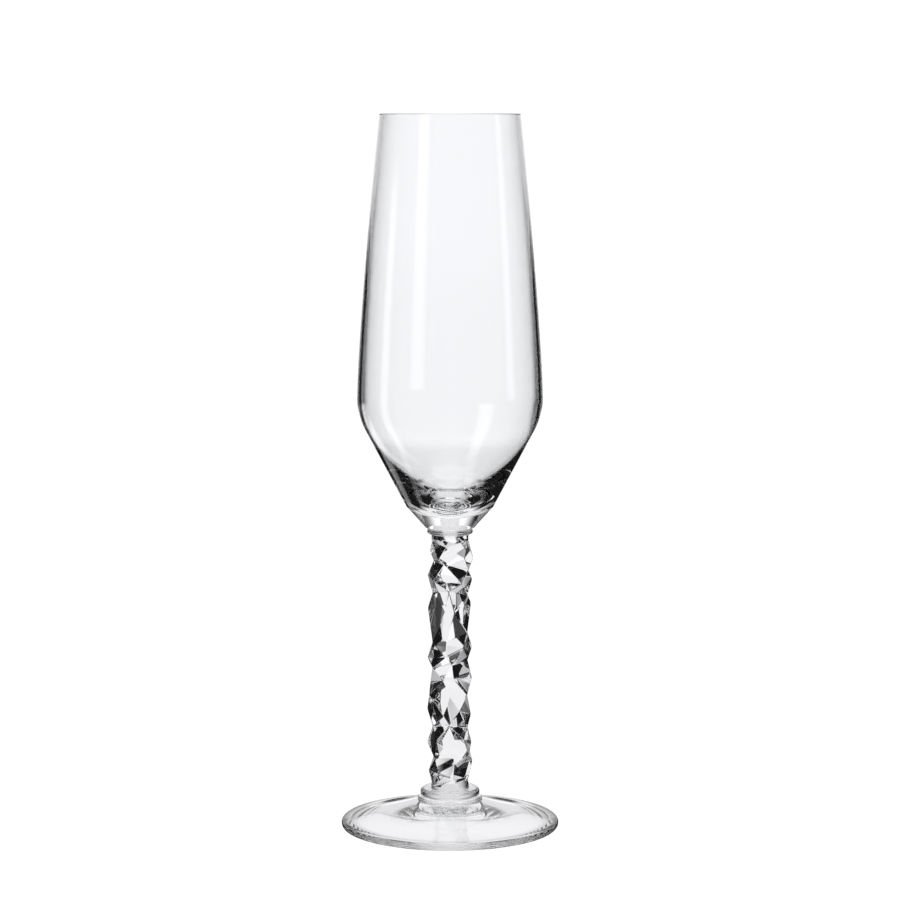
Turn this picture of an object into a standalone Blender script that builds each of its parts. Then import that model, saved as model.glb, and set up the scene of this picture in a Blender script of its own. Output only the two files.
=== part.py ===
"""Champagne flute of clear glass: a blown bowl on a crystal-faceted stem and a disc foot.

Metres, +Z up. The axis of the flute is the Z axis and its resting ring lies at z = 0.
Outlines are lists of (radius, height), turned about the axis. Neighbouring pieces are
fused in the real flute; here a hair's breadth, JOINT_GAP, keeps their solids apart.
"""

import math
import random

import bmesh
import bpy

# Overall
HEIGHT = 0.240
JOINT_GAP = 0.0003
SEGMENTS = 48
SMOOTH_UP_TO = math.radians(32)
FACETS_SMOOTH_UP_TO = math.radians(8)
# Steps that each curved stretch of an outline is divided into
SIDE_STEPS = 14
CAVITY_STEPS = 24
SHOULDER_STEPS = 8
SLOPE_STEPS = 10
UNDERSIDE_STEPS = 9
ROUND_STEPS = 4

# Bowl, outside
RIM_RADIUS = 0.0235
BELLY_RADIUS = 0.0311
BELLY_HEIGHT = 0.1462
SIDE_EXPONENT = 1.28
SHOULDER_RADIUS = 0.0240
CONE_ANGLE = math.radians(28)
KNUCKLE_HEIGHT = 0.1092
SHORT_CONE_ANGLE = math.radians(42)
BOWL_BOTTOM = 0.1020
BOWL_BOTTOM_ROUND = 0.0007

# Bowl, inside
WALL_AT_RIM = 0.0009
WALL_AT_BELLY = 0.0014
CAVITY_BOTTOM = 0.1094
CAVITY_BREADTH = 0.013
CAVITY_UPTURN = 0.014

# Bead between the bowl and the stem
BEAD_HEIGHT = 0.0017
BEAD_RADIUS = 0.0077

# Ring under the stem, the upper tier of the collar
RING_TOP = 0.0132
RING_BOTTOM = 0.0107
RING_RADIUS = 0.00995
RING_ROUND = 0.0009

# Stem: a faceted shaft between two short round necks
STEM_TOP = BOWL_BOTTOM - BEAD_HEIGHT - 2 * JOINT_GAP
STEM_FOOT = RING_TOP + JOINT_GAP
NECK_RADIUS = 0.0062
NECK_LENGTH = 0.0016
FLARE_RADIUS = 0.0065
CORNERS = 6
CROWN_RADIUS = 0.0072
WAIST_RADIUS = 0.0067
RADIUS_SPREAD = 0.0005
HEIGHT_SPREAD = 0.0018
TURN_SPREAD = 0.33
# A waist corner within this cosine of the X axis lies on a side outline, near its height
ON_OUTLINE = 0.5
HEIGHT_SHARE_ON_OUTLINE = 1 / 3
FACET_SEED = 4
# Side outlines of the shaft from the top down: height, and distance from the axis.
# Every second point is a crown, where corners stand out, and the others are waists.
LEFT_OUTLINE = (
    (0.0974, 0.00600),
    (0.0940, 0.00675),
    (0.0909, 0.00545),
    (0.0858, 0.00755),
    (0.0796, 0.00580),
    (0.0748, 0.00745),
    (0.0625, 0.00585),
    (0.0577, 0.00755),
    (0.0543, 0.00585),
    (0.0489, 0.00670),
    (0.0451, 0.00700),
    (0.0403, 0.00770),
    (0.0348, 0.00580),
    (0.0290, 0.00775),
    (0.0236, 0.00520),
    (0.0191, 0.00725),
    (0.0157, 0.00585),
)
RIGHT_OUTLINE = (
    (0.0974, 0.00625),
    (0.0916, 0.00785),
    (0.0878, 0.00610),
    (0.0844, 0.00745),
    (0.0796, 0.00585),
    (0.0765, 0.00705),
    (0.0676, 0.00585),
    (0.0615, 0.00740),
    (0.0567, 0.00590),
    (0.0509, 0.00740),
    (0.0461, 0.00575),
    (0.0383, 0.00705),
    (0.0342, 0.00585),
    (0.0290, 0.00725),
    (0.0263, 0.00645),
    (0.0225, 0.00760),
    (0.0164, 0.00610),
)

# Foot, with its boss as the lower tier
BOSS_RADIUS = 0.01095
BOSS_ROUND = 0.0006
BOSS_FOOT_HEIGHT = 0.0090
FOOT_RADIUS = 0.0367
FOOT_EDGE_HEIGHT = 0.0030
FOOT_SLOPE_EXPONENT = 1.3
REST_RING_OUTER = 0.0353
REST_RING_INNER = 0.0331
UNDERSIDE_RISE = 0.0060
UNDERSIDE_EXPONENT = 1.6

GLASS_COLOUR = (0.97, 0.98, 0.985, 1.0)
GLASS_ROUGHNESS = 0.02
GLASS_IOR = 1.52


def clear_scene():
    for thing in list(bpy.data.objects):
        bpy.data.objects.remove(thing, do_unlink=True)


def glass(name):
    """Clear glass for one piece."""
    material = bpy.data.materials.new(name)
    material.use_nodes = True
    shader = material.node_tree.nodes["Principled BSDF"]
    shader.inputs["Base Color"].default_value = GLASS_COLOUR
    shader.inputs["Roughness"].default_value = GLASS_ROUGHNESS
    shader.inputs["Metallic"].default_value = 0.0
    shader.inputs["IOR"].default_value = GLASS_IOR
    shader.inputs["Transmission Weight"].default_value = 1.0
    return material


def add_object(name, bm, material, smooth_up_to=SMOOTH_UP_TO):
    """Turn a finished bmesh into a named object, shaded smooth over shallow edges."""
    bmesh.ops.recalc_face_normals(bm, faces=bm.faces)
    mesh = bpy.data.meshes.new(name)
    bm.to_mesh(mesh)
    bm.free()
    mesh.shade_smooth()
    mesh.set_sharp_from_angle(angle=smooth_up_to)
    mesh.materials.append(material)
    thing = bpy.data.objects.new(name, mesh)
    bpy.context.collection.objects.link(thing)
    return thing


def spun(outline):
    """A closed body of revolution. The outline starts and ends on the axis."""
    bm = bmesh.new()
    points = [bm.verts.new((radius, 0.0, height)) for radius, height in outline]
    edges = [bm.edges.new(pair) for pair in zip(points, points[1:])]
    bmesh.ops.spin(
        bm,
        geom=points + edges,
        cent=(0.0, 0.0, 0.0),
        axis=(0.0, 0.0, 1.0),
        angle=2 * math.pi,
        steps=SEGMENTS,
    )
    bmesh.ops.remove_doubles(bm, verts=bm.verts, dist=0.000001)
    return bm


def arc(centre, radii, start, end, steps):
    """Points of an ellipse's arc. Angles run from +radius (0) towards +height (90 degrees)."""
    points = []
    for step in range(steps + 1):
        angle = start + (end - start) * step / steps
        radius = centre[0] + radii[0] * math.cos(angle)
        height = centre[1] + radii[1] * math.sin(angle)
        points.append((radius, height))
    return points


def bezier(start, first, second, end, steps):
    """Points of a cubic Bezier curve."""
    points = []
    for step in range(steps + 1):
        t = step / steps
        u = 1 - t
        weights = (u * u * u, 3 * u * u * t, 3 * u * t * t, t * t * t)
        corners = (start, first, second, end)
        radius = sum(w * corner[0] for w, corner in zip(weights, corners))
        height = sum(w * corner[1] for w, corner in zip(weights, corners))
        points.append((radius, height))
    return points


def side_radius(share):
    """Outer radius of the bowl's side, from the belly (share 0) to the rim (share 1)."""
    return BELLY_RADIUS - (BELLY_RADIUS - RIM_RADIUS) * share**SIDE_EXPONENT


def bowl_outside():
    """From just under the lip down the side, shoulder and cones to the flat bottom."""
    lip = WALL_AT_RIM / 2
    points = []
    for step in range(SIDE_STEPS):
        share = (1 - step / SIDE_STEPS) * (1 - lip / (HEIGHT - BELLY_HEIGHT))
        points.append((side_radius(share), BELLY_HEIGHT + (HEIGHT - BELLY_HEIGHT) * share))
    shoulder = (BELLY_RADIUS - SHOULDER_RADIUS, BELLY_HEIGHT)
    shoulder_radii = (SHOULDER_RADIUS, SHOULDER_RADIUS)
    points += arc(shoulder, shoulder_radii, 0.0, -CONE_ANGLE, SHOULDER_STEPS)
    knuckle_radius = points[-1][0] - (points[-1][1] - KNUCKLE_HEIGHT) * math.tan(CONE_ANGLE)
    round_centre_height = BOWL_BOTTOM + BOWL_BOTTOM_ROUND
    round_start_height = round_centre_height - BOWL_BOTTOM_ROUND * math.sin(SHORT_CONE_ANGLE)
    fall = KNUCKLE_HEIGHT - round_start_height
    round_start_radius = knuckle_radius - fall * math.tan(SHORT_CONE_ANGLE)
    round_centre = (
        round_start_radius - BOWL_BOTTOM_ROUND * math.cos(SHORT_CONE_ANGLE),
        round_centre_height,
    )
    points.append((knuckle_radius, KNUCKLE_HEIGHT))
    bottom_round = (BOWL_BOTTOM_ROUND, BOWL_BOTTOM_ROUND)
    points += arc(round_centre, bottom_round, -SHORT_CONE_ANGLE, -math.pi / 2, ROUND_STEPS)
    points.append((0.0, BOWL_BOTTOM))
    return points


def bowl_inside():
    """From the bottom of the cavity on the axis up the inner wall to just under the lip."""
    bottom = (0.0, CAVITY_BOTTOM)
    belly = (BELLY_RADIUS - WALL_AT_BELLY, BELLY_HEIGHT)
    outward = (CAVITY_BREADTH, CAVITY_BOTTOM)
    under_belly = (belly[0], BELLY_HEIGHT - CAVITY_UPTURN)
    points = bezier(bottom, outward, under_belly, belly, CAVITY_STEPS)
    lip = WALL_AT_RIM / 2
    for step in range(1, SIDE_STEPS + 1):
        share = step / SIDE_STEPS * (1 - lip / (HEIGHT - BELLY_HEIGHT))
        wall = WALL_AT_BELLY + (WALL_AT_RIM - WALL_AT_BELLY) * step / SIDE_STEPS
        height = BELLY_HEIGHT + (HEIGHT - BELLY_HEIGHT) * share
        points.append((side_radius(share) - wall, height))
    return points


def make_bowl():
    inside = bowl_inside()
    outside = bowl_outside()
    lip_radius = (outside[0][0] - inside[-1][0]) / 2
    lip_centre = (inside[-1][0] + lip_radius, inside[-1][1])
    lip_height = HEIGHT - lip_centre[1]
    lip = arc(lip_centre, (lip_radius, lip_height), math.pi, 0.0, ROUND_STEPS)
    add_object("bowl", spun(inside + lip[1:-1] + outside), glass("bowl_glass"))


def make_bead():
    """The bead's side is a half round."""
    top = BOWL_BOTTOM - JOINT_GAP
    half = BEAD_HEIGHT / 2
    centre = (BEAD_RADIUS - half, top - half)
    side = arc(centre, (half, half), math.pi / 2, -math.pi / 2, 2 * ROUND_STEPS)
    outline = [(0.0, top)] + side + [(0.0, top - BEAD_HEIGHT)]
    add_object("bowl_bead", spun(outline), glass("bowl_bead_glass"))


def corner_point(turn, radius, height):
    """A point on the shaft, turned from +X by a number of corner steps."""
    angle = turn * 2 * math.pi / CORNERS
    return (radius * math.cos(angle), radius * math.sin(angle), height)


def corner_ring(left, right, is_crown, chance):
    """One ring of corners of the shaft, level with a point of each side outline.

    A crown has a corner on each side outline. A waist has one on either side of it.
    """
    ring = []
    for corner in range(CORNERS):
        turn = corner if is_crown else corner + 0.5
        turn += chance.uniform(-TURN_SPREAD, TURN_SPREAD)
        height_change = chance.uniform(-HEIGHT_SPREAD, HEIGHT_SPREAD)
        radius = CROWN_RADIUS if is_crown else WAIST_RADIUS
        radius += chance.uniform(-RADIUS_SPREAD, RADIUS_SPREAD)
        rightward = math.cos(turn * 2 * math.pi / CORNERS)
        side = right if rightward > 0 else left
        if is_crown and corner % (CORNERS // 2) == 0:
            ring.append(corner_point(corner, side[1], side[0]))
            continue
        if not is_crown and abs(rightward) > ON_OUTLINE:
            radius = side[1] / abs(rightward)
            height_change *= HEIGHT_SHARE_ON_OUTLINE
        middle = (left[0] + right[0]) / 2 + (right[0] - left[0]) / 2 * rightward
        ring.append(corner_point(turn, radius, middle + height_change))
    return ring


def facet_rings():
    """Rings of corners of the faceted shaft, from the top down. Waists and crowns take turns."""
    chance = random.Random(FACET_SEED)
    outline = enumerate(zip(LEFT_OUTLINE, RIGHT_OUTLINE))
    return [corner_ring(left, right, index % 2 == 1, chance) for index, (left, right) in outline]


def join_rings(bm, rings):
    """A triangle for every facet between each ring of corners and the next."""
    for index, (upper, lower) in enumerate(zip(rings, rings[1:])):
        upper_is_crown = index % 2 == 1
        for n in range(CORNERS):
            after = (n + 1) % CORNERS
            if upper_is_crown:
                bm.faces.new((upper[n], lower[n], upper[after]))
                bm.faces.new((upper[after], lower[n], lower[after]))
            else:
                bm.faces.new((upper[n], lower[n], lower[after]))
                bm.faces.new((upper[n], lower[after], upper[after]))


def circle(bm, radius, height):
    """Corners of a level circle round the axis."""
    points = []
    for n in range(SEGMENTS):
        angle = 2 * math.pi * n / SEGMENTS
        points.append(bm.verts.new((radius * math.cos(angle), radius * math.sin(angle), height)))
    return points


def join_circles(bm, upper, lower):
    """A band of four-sided faces between two circles."""
    for n in range(SEGMENTS):
        after = (n + 1) % SEGMENTS
        bm.faces.new((upper[n], lower[n], lower[after], upper[after]))


def join_to_waist(bm, circle_points, waist):
    """A fan from each corner of a waist to its share of a circle, and a triangle between fans."""
    share = SEGMENTS // CORNERS
    for n, corner in enumerate(waist):
        for step in range(n * share, (n + 1) * share):
            after = (step + 1) % SEGMENTS
            bm.faces.new((corner, circle_points[step], circle_points[after]))
        fan_end = circle_points[(n + 1) * share % SEGMENTS]
        bm.faces.new((corner, fan_end, waist[(n + 1) % CORNERS]))


def make_stem():
    """Faceted shaft that turns into a short round neck at each end."""
    bm = bmesh.new()
    top = circle(bm, NECK_RADIUS, STEM_TOP)
    under_top = circle(bm, NECK_RADIUS, STEM_TOP - NECK_LENGTH)
    rings = [[bm.verts.new(point) for point in ring] for ring in facet_rings()]
    over_foot = circle(bm, NECK_RADIUS, STEM_FOOT + NECK_LENGTH)
    foot = circle(bm, FLARE_RADIUS, STEM_FOOT)
    bm.faces.new(top)
    join_circles(bm, top, under_top)
    join_to_waist(bm, under_top, rings[0])
    join_rings(bm, rings)
    join_to_waist(bm, over_foot, rings[-1])
    join_circles(bm, over_foot, foot)
    bm.faces.new(foot)
    add_object("stem", bm, glass("stem_glass"), FACETS_SMOOTH_UP_TO)


def make_ring():
    edge = (RING_ROUND, RING_ROUND)
    centre_radius = RING_RADIUS - RING_ROUND
    outline = [(0.0, RING_TOP)]
    upper_centre = (centre_radius, RING_TOP - RING_ROUND)
    lower_centre = (centre_radius, RING_BOTTOM + RING_ROUND)
    outline += arc(upper_centre, edge, math.pi / 2, 0.0, ROUND_STEPS)
    outline += arc(lower_centre, edge, 0.0, -math.pi / 2, ROUND_STEPS)
    outline += [(0.0, RING_BOTTOM)]
    add_object("stem_ring", spun(outline), glass("stem_ring_glass"))


def make_foot():
    top = RING_BOTTOM - JOINT_GAP
    boss_edge = (BOSS_ROUND, BOSS_ROUND)
    boss_centre_radius = BOSS_RADIUS - BOSS_ROUND
    outline = [(0.0, top)]
    boss_centre = (boss_centre_radius, top - BOSS_ROUND)
    outline += arc(boss_centre, boss_edge, math.pi / 2, -math.pi / 4, ROUND_STEPS)
    edge_round = FOOT_EDGE_HEIGHT / 2
    slope_end = FOOT_RADIUS - edge_round
    for step in range(SLOPE_STEPS):
        radius = BOSS_RADIUS + (slope_end - BOSS_RADIUS) * step / SLOPE_STEPS
        share = 1 - step / SLOPE_STEPS
        rise = (BOSS_FOOT_HEIGHT - FOOT_EDGE_HEIGHT) * share**FOOT_SLOPE_EXPONENT
        outline.append((radius, FOOT_EDGE_HEIGHT + rise))
    upper_round = (edge_round, edge_round)
    lower_round = (FOOT_RADIUS - REST_RING_OUTER, edge_round)
    outline += arc((slope_end, edge_round), upper_round, math.pi / 2, 0.0, ROUND_STEPS)
    outline += arc((REST_RING_OUTER, edge_round), lower_round, 0.0, -math.pi / 2, ROUND_STEPS)[1:]
    for step in range(UNDERSIDE_STEPS + 1):
        radius = REST_RING_INNER * (1 - step / UNDERSIDE_STEPS)
        rise = UNDERSIDE_RISE * (1 - (radius / REST_RING_INNER) ** UNDERSIDE_EXPONENT)
        outline.append((radius, rise))
    add_object("foot", spun(outline), glass("foot_glass"))


def main():
    clear_scene()
    make_bowl()
    make_bead()
    make_stem()
    make_ring()
    make_foot()


main()
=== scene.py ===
"""Champagne flute of clear glass on a plain pale floor, in soft bright-field studio light.

Every round piece is turned again, finely, from the outline of its CAD node, and the stem is
its CAD node with polished edges. The pieces are fused in the real flute, so each one reaches
to the middle of the joint gap. Lengths are in metres.
"""

import math

import bmesh
import bpy
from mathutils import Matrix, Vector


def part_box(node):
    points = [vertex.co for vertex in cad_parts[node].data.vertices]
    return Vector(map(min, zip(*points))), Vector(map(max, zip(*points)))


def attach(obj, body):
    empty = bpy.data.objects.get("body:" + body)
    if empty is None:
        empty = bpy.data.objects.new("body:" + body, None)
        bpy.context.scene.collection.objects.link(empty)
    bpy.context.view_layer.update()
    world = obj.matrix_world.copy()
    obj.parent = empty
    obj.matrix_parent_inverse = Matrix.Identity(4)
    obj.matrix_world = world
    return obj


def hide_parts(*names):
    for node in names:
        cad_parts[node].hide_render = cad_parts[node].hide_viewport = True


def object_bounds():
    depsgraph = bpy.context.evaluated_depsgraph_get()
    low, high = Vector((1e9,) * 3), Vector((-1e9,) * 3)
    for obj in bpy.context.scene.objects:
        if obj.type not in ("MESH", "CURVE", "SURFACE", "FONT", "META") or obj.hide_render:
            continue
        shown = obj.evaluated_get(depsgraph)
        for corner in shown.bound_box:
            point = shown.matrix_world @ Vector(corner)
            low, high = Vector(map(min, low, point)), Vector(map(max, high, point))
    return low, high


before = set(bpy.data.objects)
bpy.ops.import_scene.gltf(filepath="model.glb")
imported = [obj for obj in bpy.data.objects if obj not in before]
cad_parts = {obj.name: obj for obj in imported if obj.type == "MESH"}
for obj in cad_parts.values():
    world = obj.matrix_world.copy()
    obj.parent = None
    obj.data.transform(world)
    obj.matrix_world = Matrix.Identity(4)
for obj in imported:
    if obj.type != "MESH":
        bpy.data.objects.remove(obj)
cad_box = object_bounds()

# The CAD nodes, from the top down
STACK = ("bowl", "bowl_bead", "stem", "stem_ring", "foot")

# Places closer than this are the same place, and outlines are read to this many digits
SAME_PLACE = 1e-6
DIGITS = 6
# Neighbours stop this far short of the middle of their joint, so that no faces coincide
HAIR = 0.00001

# Turned pieces
ROUND_SEGMENTS = 384
CREASE = math.radians(10)  # an outline's bend that is shaded as an edge
SHARP_TURN = math.radians(50)  # a bend that is always a corner
CORNER_TURN = math.radians(10)  # a bend that is a corner between two runs of CORNER_RUN or more
CORNER_RUN = 0.001
FINE_TURN = math.radians(3)  # about how far a smoothed outline bends at one point
MOST_STEPS = 8  # the most that one run is divided into
LONG_RUN = 4.0  # at this many times its neighbour's length, a run keeps its own direction

# Stem
SAME_FACET = math.radians(0.5)
FACET_EDGE = math.radians(9)  # facets that meet at more than this have a rounded edge
EDGE_ROUND = 0.00022
EDGE_STEPS = 3
ROUND_PROFILE = 0.5
NECK = 0.0018  # edges this close to the stem's ends stay as they are
BY_AREA_ONLY = 100  # the shading follows the large faces, so that the facets look flat

# Glass
GLASS_TINT = (0.985, 0.99, 0.995, 1.0)
GLASS_IOR = 1.52
EVEN = (1.0, 1.0, 1.0)
UPRIGHT = (1.0, 1.0, 0.35)  # the ripple of the blown bowl is drawn out along its height
FINISHES = {
    "bowl": dict(ripple_scale=22.0, ripple_height=0.00002, stretch=UPRIGHT, roughness=0.004),
    "bowl_bead": dict(ripple_scale=150.0, ripple_height=0.00001, stretch=EVEN, roughness=0.01),
    "stem": dict(ripple_scale=160.0, ripple_height=0.00002, stretch=EVEN, roughness=0.01),
    "stem_ring": dict(ripple_scale=150.0, ripple_height=0.00001, stretch=EVEN, roughness=0.01),
    "foot": dict(ripple_scale=60.0, ripple_height=0.00001, stretch=EVEN, roughness=0.008),
}
POLISH_SCALE = 3.0  # the uneven polish is this many times finer than the ripple

# Camera: it stands level with the rim and looks down at the middle of the flute
CAMERA_DISTANCE = 4.1725  # in heights of the flute
CAMERA_PITCH = math.radians(6.3732)
LENS = 120.5
SENSOR = 36.0

# Light. The camera sees a plain pale room; the glass bends and mirrors the lights below, which
# only its own rays see. A fade is (start, end[, level at start, level at end]), and its level
# goes from 1 to 0 where none is given. Angles are in degrees, and an azimuth is from +Y to +X.
FLOOR_SIZE = 30.0
FLOOR_DROP = 0.00002  # the floor lies this far under the resting ring
PALE = (1.05, 1.05, 1.05, 1.0)
LIGHT_TINT = (1.0, 0.995, 1.01)
DARK = 0.009
# A lit disc on the table, under the foot: its fade with distance from the flute's axis
UNDER_FOOT = (0.030, 0.037, 0.95, 0.0)
# White strips on the table, which run away from the flute. Each one makes the glass clear for a
# camera across from it, at azimuth 0, 45, 225 or 90 from the front; from elsewhere it looks dark.
STRIPS = (
    dict(azimuth=0, side=(9, 17), near=(0.3, 1.5, 0.95, 1.09), far=(1.5, 5.0, 1.0, 1.035)),
    dict(azimuth=-45, side=(6, 14), near=(0.05, 0.08, 0.0, 1.05), far=(0.8, 1.1)),
    dict(azimuth=135, side=(5, 13), near=(0.05, 0.08, 0.0, 1.05), far=(1.9, 2.7)),
    dict(azimuth=-90, side=(3, 9), near=(0.05, 0.08, 0.0, 1.05), far=(8.0, 9.0, 1.0, 1.0)),
)
# White screens far away: one behind, a wide glow round and above it, a ceiling, one at the side
SCREENS = (
    dict(azimuth=0, side=(9, 22), up=(2, 9, 1.13, 0.0)),
    dict(azimuth=0, side=(15, 62), up=(40, 65, 0.75, 0.0)),
    dict(azimuth=0, side=(175, 180, 1.0, 1.0), up=(55, 70, 0.0, 1.4)),
    dict(azimuth=-90, side=(3, 9), up=(5, 7, 1.05, 0.0)),
)
# Light crosses many facets before it leaves the stem
GLASS_BOUNCES = 48
MIRROR_BOUNCES = 24


def linked(name, data):
    """A new object in the scene."""
    thing = bpy.data.objects.new(name, data)
    bpy.context.scene.collection.objects.link(thing)
    return thing


def same(first, second):
    return abs(first - second) < SAME_PLACE


# ---- outlines: lists of (radius, height) ----------------------------------------------------


def direction(before, after):
    return math.atan2(after[1] - before[1], after[0] - before[0])


def turn(first, second):
    """The signed angle from one direction to another."""
    return math.atan2(math.sin(second - first), math.cos(second - first))


def between(before, after, share):
    return tuple(b + (a - b) * share for b, a in zip(before, after))


def outline_of(node):
    """The outline of a turned CAD node: its edges in the half plane at azimuth +X."""
    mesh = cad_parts[node].data
    flat = {}
    for vertex in mesh.vertices:
        if same(vertex.co.y, 0.0) and vertex.co.x > -SAME_PLACE:
            flat[vertex.index] = (round(vertex.co.x, DIGITS), round(vertex.co.z, DIGITS))
    near = {point: set() for point in flat.values()}
    for edge in mesh.edges:
        ends = [flat.get(index) for index in edge.vertices]
        if None not in ends and ends[0] != ends[1]:
            near[ends[0]].add(ends[1])
            near[ends[1]].add(ends[0])
    return joined(chains(near))


def chains(near):
    """Runs of points, each a neighbour of the one before, that take in all the points."""
    runs = []
    left = set(near)
    while left:
        ends = [point for point in left if len(near[point] & left) < 2]
        point = min(ends or left)
        run = [point]
        left.discard(point)
        while near[point] & left:
            point = min(near[point] & left, key=lambda other: math.dist(other, run[-1]))
            run.append(point)
            left.discard(point)
        runs.append(run)
    return runs


def joined(runs):
    """One outline from axis to axis, with each run joined on at its nearest end."""
    runs = sorted(runs, key=lambda run: min(run[0][0], run[-1][0]))
    line = runs.pop(0)
    if line[0][0] > line[-1][0]:
        line.reverse()
    while runs:
        run = min(runs, key=lambda r: min(math.dist(line[-1], r[0]), math.dist(line[-1], r[-1])))
        runs.remove(run)
        if math.dist(line[-1], run[-1]) < math.dist(line[-1], run[0]):
            run.reverse()
        line += run
    if line[0][0] > SAME_PLACE:
        line.insert(0, (0.0, line[0][1]))
    if line[-1][0] > SAME_PLACE:
        line.append((0.0, line[-1][1]))
    return line


def stretched(line, from_height, to_height):
    """The outline with one flat end moved to another height."""
    return [(radius, to_height if same(height, from_height) else height) for radius, height in line]


def with_joint_edge(line, height, radius):
    """The outline with a point on its flat at this height, where a narrower neighbour ends."""
    made = [line[0]]
    for before, after in zip(line, line[1:]):
        inner, outer = sorted((before[0], after[0]))
        level = same(before[1], height) and same(after[1], height)
        if level and inner + HAIR < radius < outer:
            made.append((radius, height))
        made.append(after)
    return made


def tangents(line):
    """Directions of the smooth curve through an outline, at the start and end of each run.

    A bend is shared between its two runs, the shorter one taking more, and a corner is kept.
    """
    runs = list(zip(line, line[1:]))
    ways = [direction(*run) for run in runs]
    lengths = [math.dist(*run) for run in runs]
    starts, ends = [None] * len(runs), [None] * len(runs)
    for index in range(len(runs) - 1):
        bend = turn(ways[index], ways[index + 1])
        before, after = lengths[index], lengths[index + 1]
        corner = abs(bend) > CORNER_TURN and min(before, after) > CORNER_RUN
        if corner or abs(bend) > SHARP_TURN:
            continue
        share = after / (before + after)
        if max(before, after) > LONG_RUN * min(before, after):
            share = round(share)
        ends[index] = ways[index] + bend * share
        starts[index + 1] = ways[index + 1] - bend * (1 - share)
    for index, way in enumerate(ways):
        if starts[index] is None:
            starts[index] = way if ends[index] is None else 2 * way - ends[index]
        if ends[index] is None:
            ends[index] = 2 * way - starts[index]
    return list(zip(runs, ways, lengths, starts, ends))


def smoothed(line):
    """The outline with points of a Hermite curve added on each run, where it bends."""
    made = [line[0]]
    for (before, after), way, length, start, end in tangents(line):
        bend = abs(start - way) + abs(end - way)
        steps = min(MOST_STEPS, max(1, math.ceil(bend / FINE_TURN)))
        for step in range(1, steps):
            t = step / steps
            leaving, arriving = t * (1 - t) ** 2 * length, t * t * (t - 1) * length
            radius, height = between(before, after, t * t * (3 - 2 * t))
            radius += leaving * math.cos(start) + arriving * math.cos(end)
            height += leaving * math.sin(start) + arriving * math.sin(end)
            made.append((max(radius, 0.0), height))
        made.append(after)
    return made


def supported(line):
    """The outline with a point near each end of a run much longer than its neighbour.

    It keeps a straight run straight when the surface is shaded smoothly.
    """
    lengths = [math.dist(before, after) for before, after in zip(line, line[1:])]
    made = [line[0]]
    for index, length in enumerate(lengths):
        before, after = line[index], line[index + 1]
        if index > 0 and lengths[index - 1] * LONG_RUN < length:
            made.append(between(before, after, lengths[index - 1] / length))
        if index + 1 < len(lengths) and lengths[index + 1] * LONG_RUN < length:
            made.append(between(before, after, 1 - lengths[index + 1] / length))
        made.append(after)
    return made


# ---- joints ---------------------------------------------------------------------------------


def flat_radius(node, height):
    """The radius of a node's flat end at this height."""
    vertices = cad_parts[node].data.vertices
    return round(max(v.co.xy.length for v in vertices if same(v.co.z, height)), DIGITS)


def find_joints():
    """Each node's flats at its joints: (CAD height, height to reach, radius that both share)."""
    joints = {node: [] for node in STACK}
    for upper, lower in zip(STACK, STACK[1:]):
        above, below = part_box(upper)[0].z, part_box(lower)[1].z
        middle = (above + below) / 2
        radius = min(flat_radius(upper, above), flat_radius(lower, below))
        joints[upper].append((above, middle + HAIR, radius))
        joints[lower].append((below, middle - HAIR, radius))
    return joints


# ---- pieces ---------------------------------------------------------------------------------


def make_ring(bm, radius, height):
    """The vertices of one turn of a body of revolution, or one vertex on its axis."""
    if radius < SAME_PLACE:
        return [bm.verts.new((0.0, 0.0, height))]
    angles = [2 * math.pi * n / ROUND_SEGMENTS for n in range(ROUND_SEGMENTS)]
    return [bm.verts.new((radius * math.cos(a), radius * math.sin(a), height)) for a in angles]


def make_band(bm, first, second):
    """The faces between two rings."""
    for n in range(ROUND_SEGMENTS):
        after = (n + 1) % ROUND_SEGMENTS
        corners = [first[n % len(first)], second[n % len(second)]]
        corners += [second[after % len(second)], first[after % len(first)]]
        bm.faces.new(list(dict.fromkeys(corners))).smooth = True


def turned_piece(node, joints):
    """A closed body of revolution from a CAD node's outline."""
    line = outline_of(node)
    for at, to, radius in joints:
        line = with_joint_edge(stretched(line, at, to), to, radius)
    line = supported(smoothed(line))
    bm = bmesh.new()
    rings = [make_ring(bm, *point) for point in line]
    for first, second in zip(rings, rings[1:]):
        make_band(bm, first, second)
    bmesh.ops.recalc_face_normals(bm, faces=bm.faces)
    for before, point, after, ring in zip(line, line[1:], line[2:], rings[1:]):
        if abs(turn(direction(before, point), direction(point, after))) > CREASE:
            for vertex, neighbour in zip(ring, ring[1:] + ring[:1]):
                bm.edges.get((vertex, neighbour)).smooth = False
    mesh = bpy.data.meshes.new(node + "_turned")
    bm.to_mesh(mesh)
    bm.free()
    return linked(mesh.name, mesh)


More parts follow.
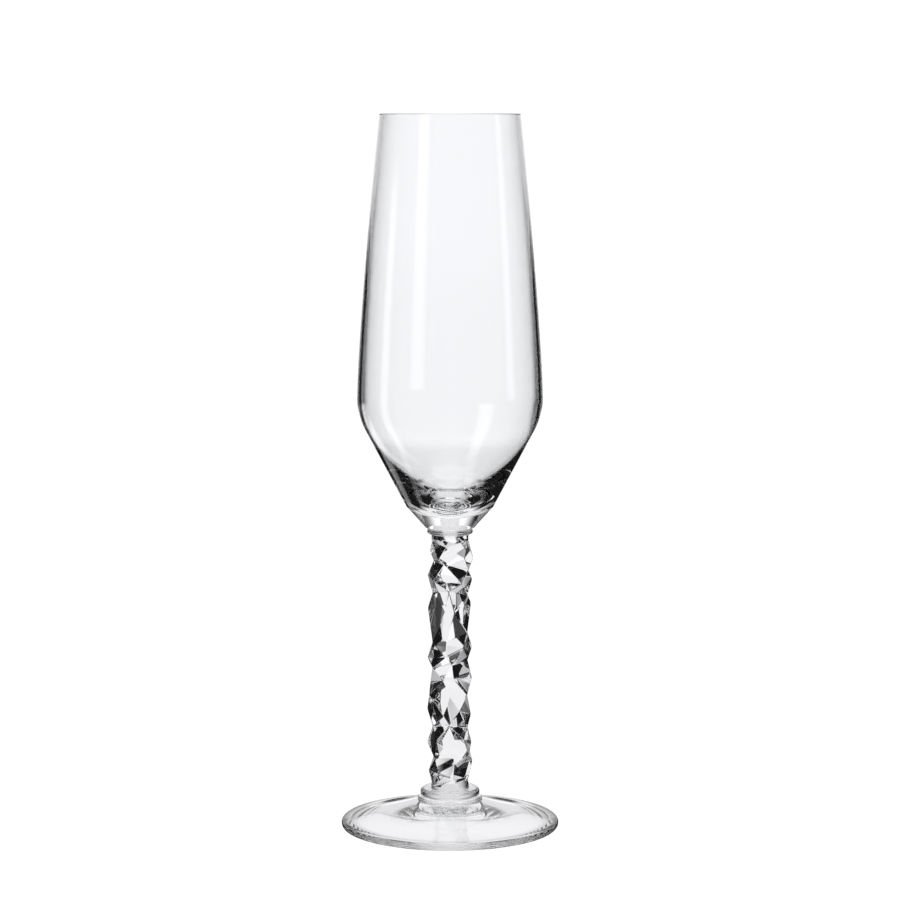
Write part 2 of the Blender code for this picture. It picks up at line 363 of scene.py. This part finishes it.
def polished_stem(joints):
    """The CAD stem with its ends moved to the middle of the joint gaps and its edges rounded."""
    low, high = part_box("stem")
    bm = bmesh.new()
    bm.from_mesh(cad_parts["stem"].data)
    bmesh.ops.remove_doubles(bm, verts=bm.verts, dist=SAME_PLACE)
    for at, to, _ in joints:
        for vertex in bm.verts:
            if same(vertex.co.z, at):
                vertex.co.z = to
    bmesh.ops.dissolve_limit(
        bm, angle_limit=SAME_FACET, verts=bm.verts, edges=bm.edges, delimit=set()
    )
    facet_edges = [
        edge
        for edge in bm.edges
        if edge.calc_face_angle(0) > FACET_EDGE
        and all(low.z + NECK < vertex.co.z < high.z - NECK for vertex in edge.verts)
    ]
    bmesh.ops.bevel(
        bm,
        geom=facet_edges,
        offset=EDGE_ROUND,
        offset_type="OFFSET",
        segments=EDGE_STEPS,
        profile=ROUND_PROFILE,
        affect="EDGES",
        clamp_overlap=False,
    )
    for face in bm.faces:
        face.smooth = True
        if any(all(same(vertex.co.z, to) for vertex in face.verts) for _, to, _ in joints):
            for edge in face.edges:
                edge.smooth = False
    bmesh.ops.recalc_face_normals(bm, faces=bm.faces)
    mesh = bpy.data.meshes.new("stem_facets")
    bm.to_mesh(mesh)
    bm.free()
    stem = linked(mesh.name, mesh)
    weighted = stem.modifiers.new("facets_stay_flat", "WEIGHTED_NORMAL")
    weighted.keep_sharp = True
    weighted.weight = BY_AREA_ONLY
    return stem


# ---- materials ------------------------------------------------------------------------------


class Nodes:
    """A short way to add and join shader nodes."""

    def __init__(self, tree):
        self.tree = tree

    def add(self, kind, **settings):
        node = self.tree.nodes.new(kind)
        for name, value in settings.items():
            setattr(node, name, value)
        return node

    def link(self, output, socket):
        self.tree.links.new(output, socket)

    def coordinates(self, space):
        """X, Y and Z in one of the texture spaces."""
        split = self.add("ShaderNodeSeparateXYZ")
        self.link(self.add("ShaderNodeTexCoord").outputs[space], split.inputs["Vector"])
        return split.outputs["X"], split.outputs["Y"], split.outputs["Z"]

    def noise(self, place, scale, detail, roughness=0.5):
        """Noise from 0 to 1."""
        node = self.add("ShaderNodeTexNoise")
        node.inputs["Scale"].default_value = scale
        node.inputs["Detail"].default_value = detail
        node.inputs["Roughness"].default_value = roughness
        self.link(place, node.inputs["Vector"])
        return node.outputs["Fac"]

    def math(self, operation, *values):
        node = self.add("ShaderNodeMath", operation=operation)
        for socket, value in zip(node.inputs, values):
            if isinstance(value, (int, float)):
                socket.default_value = value
            else:
                self.link(value, socket)
        return node.outputs["Value"]

    def fade(self, value, start, end, at_start=1.0, at_end=0.0, step="SMOOTHSTEP"):
        """A step from one level to another as the value goes from start to end."""
        node = self.add("ShaderNodeMapRange", interpolation_type=step)
        node.inputs["From Min"].default_value = start
        node.inputs["From Max"].default_value = end
        node.inputs["To Min"].default_value = at_start
        node.inputs["To Max"].default_value = at_end
        self.link(value, node.inputs["Value"])
        return node.outputs["Result"]

    def brightest(self, *values):
        value = values[0]
        for other in values[1:]:
            value = self.math("MAXIMUM", value, other)
        return value

    def grey(self, value, tint):
        node = self.add("ShaderNodeVectorMath", operation="SCALE")
        node.inputs[0].default_value = tint
        self.link(value, node.inputs["Scale"])
        return node.outputs["Vector"]


def new_material(name):
    material = bpy.data.materials.new(name)
    material.use_nodes = True
    return material, material.node_tree.nodes["Principled BSDF"], Nodes(material.node_tree)


def clear_glass(name, ripple_scale, ripple_height, stretch, roughness):
    """Clear glass with the faint ripple of its making and a little uneven polish."""
    material, shader, n = new_material(name)
    shader.inputs["Base Color"].default_value = GLASS_TINT
    shader.inputs["IOR"].default_value = GLASS_IOR
    shader.inputs["Transmission Weight"].default_value = 1.0
    mapping = n.add("ShaderNodeMapping")
    mapping.inputs["Scale"].default_value = stretch
    n.link(n.add("ShaderNodeTexCoord").outputs["Object"], mapping.inputs["Vector"])
    place = mapping.outputs["Vector"]
    bump = n.add("ShaderNodeBump")
    bump.inputs["Strength"].default_value = 1.0
    bump.inputs["Distance"].default_value = ripple_height
    n.link(n.noise(place, ripple_scale, detail=1.0, roughness=0.4), bump.inputs["Height"])
    n.link(bump.outputs["Normal"], shader.inputs["Normal"])
    polish = n.noise(place, ripple_scale * POLISH_SCALE, detail=2.0)
    n.link(n.fade(polish, 0.0, 1.0, 0.0, roughness, "LINEAR"), shader.inputs["Roughness"])
    return material


# ---- the flute ------------------------------------------------------------------------------


def make_flute():
    joints = find_joints()
    for node in STACK:
        if node == "stem":
            piece = polished_stem(joints[node])
        else:
            piece = turned_piece(node, joints[node])
        piece.data.materials.append(clear_glass(node + "_clear", **FINISHES[node]))
        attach(piece, "root")
        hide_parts(node)


# ---- stage ----------------------------------------------------------------------------------


def away_from(n, x, y, azimuth):
    """How far a place's azimuth is from another, in degrees."""
    turned = n.math("SUBTRACT", n.math("ARCTAN2", x, y), math.radians(azimuth))
    wrapped = n.math("WRAP", turned, math.pi, -math.pi)
    return n.math("DEGREES", n.math("ABSOLUTE", wrapped))


def seen_and_lit(n, lights):
    """The pale room for the camera, and the brightest of the lights for the glass's own rays."""
    level = n.math("ADD", n.brightest(*lights), DARK)
    path = n.add("ShaderNodeLightPath")
    mix = n.add("ShaderNodeMix", data_type="RGBA")
    n.link(path.outputs["Is Camera Ray"], mix.inputs["Factor"])
    n.link(n.grey(level, LIGHT_TINT), mix.inputs["A"])
    mix.inputs["B"].default_value = PALE
    return mix.outputs["Result"]


def floor_light(n):
    x, y, _ = n.coordinates("Object")
    distance = n.math("SQRT", n.math("ADD", n.math("POWER", x, 2.0), n.math("POWER", y, 2.0)))
    lights = [n.fade(distance, *UNDER_FOOT)]
    for strip in STRIPS:
        near, far = n.fade(distance, *strip["near"]), n.fade(distance, *strip["far"])
        across = n.fade(away_from(n, x, y, strip["azimuth"]), *strip["side"])
        lights.append(n.math("MULTIPLY", n.math("MULTIPLY", near, far), across))
    return seen_and_lit(n, lights)


def make_floor():
    mesh = bpy.data.meshes.new("floor")
    half = FLOOR_SIZE / 2
    corners = [(-half, -half, 0.0), (half, -half, 0.0), (half, half, 0.0), (-half, half, 0.0)]
    mesh.from_pydata(corners, [], [(0, 1, 2, 3)])
    floor = linked("floor", mesh)
    floor.location.z = cad_box[0].z - FLOOR_DROP
    material, shader, n = new_material("floor")
    shader.inputs["Base Color"].default_value = (0.0, 0.0, 0.0, 1.0)
    shader.inputs["Specular IOR Level"].default_value = 0.0
    shader.inputs["Emission Strength"].default_value = 1.0
    n.link(floor_light(n), shader.inputs["Emission Color"])
    mesh.materials.append(material)


def make_world():
    """The pale surroundings for the camera, and the screens for the glass."""
    world = bpy.data.worlds.new("studio")
    bpy.context.scene.world = world
    world.use_nodes = True
    n = Nodes(world.node_tree)
    x, y, z = n.coordinates("Generated")
    elevation = n.math("DEGREES", n.math("ARCSINE", z))
    lights = []
    for screen in SCREENS:
        across = n.fade(away_from(n, x, y, screen["azimuth"]), *screen["side"])
        lights.append(n.math("MULTIPLY", across, n.fade(elevation, *screen["up"])))
    n.link(seen_and_lit(n, lights), n.tree.nodes["Background"].inputs["Color"])


def make_camera():
    low, high = cad_box
    lens = bpy.data.cameras.new("camera")
    lens.lens = LENS
    lens.sensor_width = SENSOR
    camera = linked("camera", lens)
    camera.location = ((low.x + high.x) / 2, -CAMERA_DISTANCE * (high.z - low.z), high.z)
    camera.rotation_euler = (math.pi / 2 - CAMERA_PITCH, 0.0, 0.0)
    bpy.context.scene.camera = camera


make_flute()
make_floor()
make_world()
make_camera()
bpy.context.scene.view_settings.view_transform = "Standard"
bpy.context.scene.cycles.max_bounces = GLASS_BOUNCES
bpy.context.scene.cycles.transmission_bounces = GLASS_BOUNCES
bpy.context.scene.cycles.glossy_bounces = MIRROR_BOUNCES
